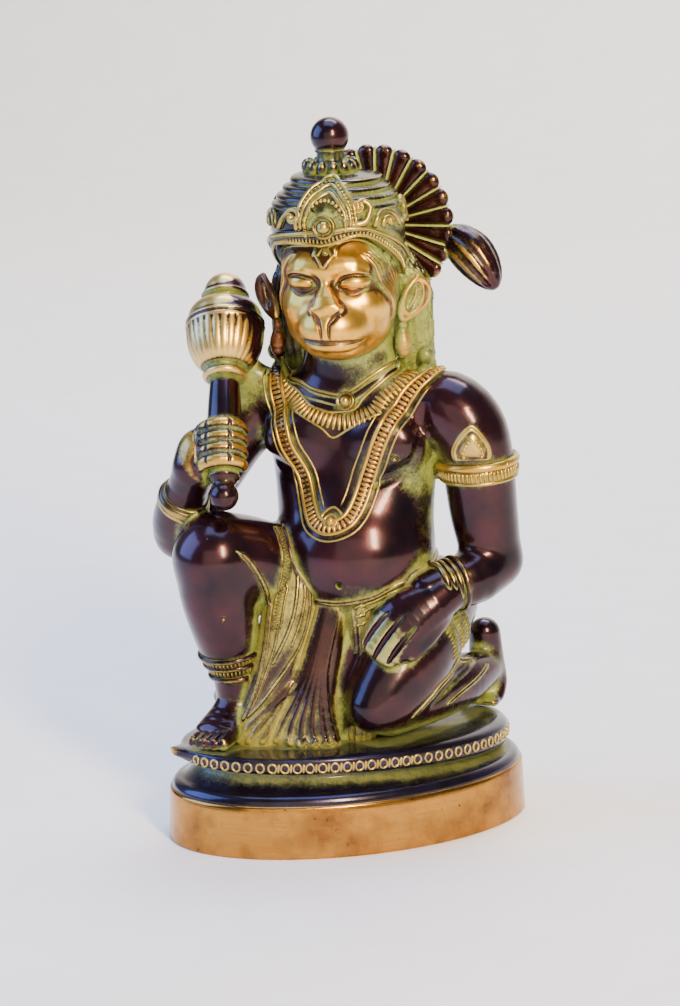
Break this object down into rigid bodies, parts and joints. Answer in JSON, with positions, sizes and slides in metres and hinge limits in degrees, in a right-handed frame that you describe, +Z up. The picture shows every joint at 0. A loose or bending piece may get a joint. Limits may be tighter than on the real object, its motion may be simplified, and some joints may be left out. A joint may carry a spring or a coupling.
{
  "type": "hanuman figure",
  "caption": "Cast brass kneeling monkey deity with a mace over the shoulder, stepped crown, fan-shaped halo and raised tail, on an oval stepped plinth.",
  "frame": {"origin": "centre of the plinth's underside, on the surface it stands on", "axes": "+Z up; the figure faces -Y; +X is on the figure's left-hand side, where its hand rests on the kneeling thigh"},
  "size_m": [0.1216, 0.1034, 0.2403],
  "materials": {
    "dark_bronze": "cast brass with a dark brown glossy patina, green verdigris in the recesses and brass rubbed bright on the face, mace and jewellery",
    "plinth_brass": "cast brass plinth, its lower band brushed bright and its rim and cove patinated dark and green"
  },
  "bodies": {
    "root": {"figure": "dark_bronze", "plinth": "plinth_brass"}
  },
  "joints": []
}
